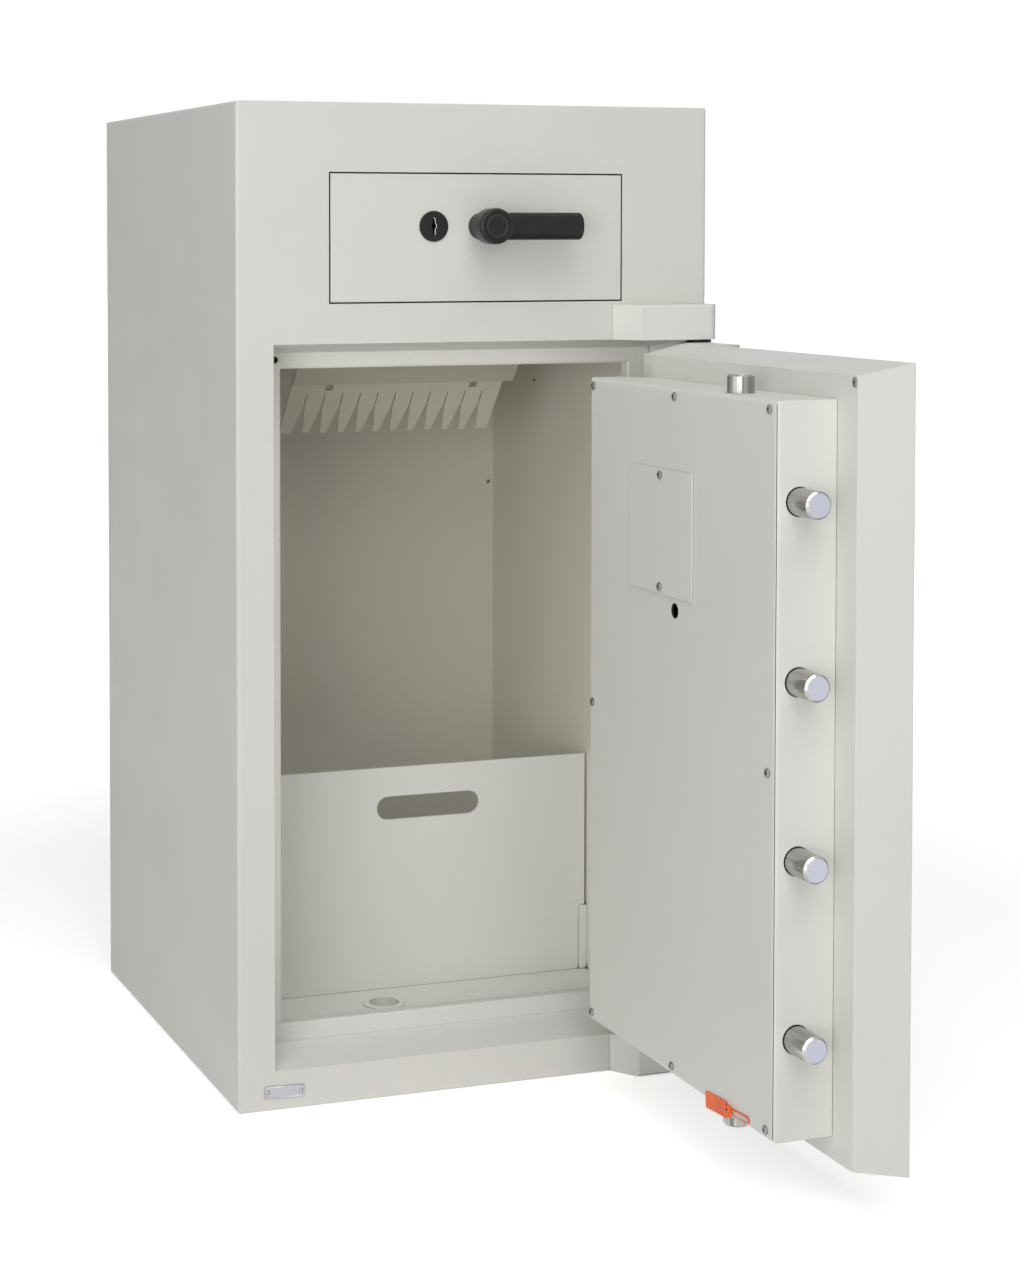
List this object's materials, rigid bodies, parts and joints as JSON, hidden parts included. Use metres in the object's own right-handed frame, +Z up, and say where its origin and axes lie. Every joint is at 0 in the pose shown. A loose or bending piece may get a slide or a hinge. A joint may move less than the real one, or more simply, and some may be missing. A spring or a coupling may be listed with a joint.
{
  "type": "drop safe with deposit drawer",
  "caption": "Free-standing steel drop safe: a lockable deposit drawer over a thick hinged door with lever-driven sliding bolts, a drop comb and a lift-out retainer plate inside.",
  "frame": {"origin": "centre of the body's footprint on the floor plane, under the body without its door", "axes": "+Z up, front with the drawer and the doorway faces -Y, +X to the right as seen from the front; the door's hinge is at the right front corner and the door stands open by 90 degrees at rest"},
  "size_m": [0.5165, 0.995, 1],
  "materials": {
    "grey_paint": "light warm grey textured powder coat",
    "inner_paint": "light warm grey satin paint",
    "chrome": "polished chrome plate",
    "bare_steel": "zinc plated or bare steel",
    "black_coat": "matt black coating",
    "brass": "turned brass",
    "orange_plastic": "moulded orange plastic"
  },
  "bodies": {
    "cabinet": {"cabinet_body": "grey_paint", "compartment_shelf": "inner_paint", "door_stop_frame": "grey_paint", "hinge_block_lower": "grey_paint", "hinge_block_upper": "grey_paint", "hinge_pin_lower": "bare_steel", "hinge_pin_upper": "bare_steel", "comb_carrier": "inner_paint", "drop_comb": "inner_paint", "retainer_guide_left": "inner_paint", "retainer_guide_right": "inner_paint", "anchor_grommet": "grey_paint", "drawer_runner_left": "bare_steel", "drawer_runner_right": "bare_steel", "bare_nameplate": "bare_steel"},
    "retainer": {"retainer_plate": "inner_paint"},
    "drawer": {"drawer_front": "grey_paint", "drawer_tray": "inner_paint", "drawer_lock_rose": "black_coat", "drawer_lock_case": "brass"},
    "drawer_handle": {"drawer_lever": "black_coat", "drawer_spindle": "bare_steel", "drawer_latch_tongue": "bare_steel"},
    "drawer_key": {"drawer_lock_core": "bare_steel", "drawer_lock_tongue": "bare_steel"},
    "door": {"door_leaf": "grey_paint", "boltwork_cover": "grey_paint", "cover_screw_1": "chrome", "cover_screw_2": "chrome", "cover_screw_3": "chrome", "cover_screw_4": "chrome", "cover_screw_5": "chrome", "cover_screw_6": "chrome", "cover_screw_7": "chrome", "cover_screw_8": "chrome", "access_plate": "grey_paint", "access_screw_1": "chrome", "access_screw_2": "chrome", "rebate_screw": "chrome", "hinge_side_bar": "bare_steel", "bolt_guide": "bare_steel", "door_lock_rose": "black_coat", "door_lock_case": "brass", "security_tag": "orange_plastic"},
    "door_handle": {"door_lever": "black_coat", "door_spindle": "bare_steel", "boltwork_cam": "bare_steel"},
    "side_bolts": {"side_bolt_1": "chrome", "side_bolt_2": "chrome", "side_bolt_3": "chrome", "side_bolt_4": "chrome", "side_bolt_carrier": "bare_steel"},
    "upper_bolt": {"upper_bolt": "chrome", "upper_rod": "bare_steel"},
    "lower_bolt": {"lower_bolt": "chrome", "lower_rod": "bare_steel"},
    "door_key": {"door_lock_core": "bare_steel", "door_lock_tongue": "bare_steel"}
  },
  "joints": [
    {"name": "door_swing", "type": "hinge", "parent": "cabinet", "child": "door", "pos_m": [0.2375, -0.2815, 0.4], "axis": [0, 0, 1], "range_deg": [-90, 90]},
    {"name": "door_handle_turn", "type": "hinge", "parent": "door", "child": "door_handle", "pos_m": [0.15, -0.4985, 0.5154], "axis": [1, 0, 0], "range_deg": [-90, 0]},
    {"name": "side_bolts_slide", "type": "slide", "parent": "door", "child": "side_bolts", "axis": [0, 1, 0], "range_m": [0, 0.032]},
    {"name": "upper_bolt_slide", "type": "slide", "parent": "door", "child": "upper_bolt", "axis": [0, 0, -1], "range_m": [0, 0.018]},
    {"name": "lower_bolt_slide", "type": "slide", "parent": "door", "child": "lower_bolt", "axis": [0, 0, 1], "range_m": [0, 0.018]},
    {"name": "door_key_turn", "type": "hinge", "parent": "door", "child": "door_key", "pos_m": [0.15, -0.469, 0.6], "axis": [-1, 0, 0], "range_deg": [0, 90]},
    {"name": "drawer_slide", "type": "slide", "parent": "cabinet", "child": "drawer", "axis": [0, -1, 0], "range_m": [0, 0.125]},
    {"name": "drawer_handle_turn", "type": "hinge", "parent": "drawer", "child": "drawer_handle", "pos_m": [0.003, -0.24, 0.8775], "axis": [0, 1, 0], "range_deg": [0, 90]},
    {"name": "drawer_key_turn", "type": "hinge", "parent": "drawer", "child": "drawer_key", "pos_m": [-0.0485, -0.24, 0.8775], "axis": [0, 1, 0], "range_deg": [0, 90]},
    {"name": "retainer_lift", "type": "slide", "parent": "cabinet", "child": "retainer", "axis": [0, 0, 1], "range_m": [0, 0.25]}
  ],
  "couplings": [
    {"joint": "side_bolts_slide", "follows": "door_handle_turn", "m_per_rad": -0.020372},
    {"joint": "upper_bolt_slide", "follows": "door_handle_turn", "m_per_rad": -0.011459},
    {"joint": "lower_bolt_slide", "follows": "door_handle_turn", "m_per_rad": -0.011459}
  ]
}
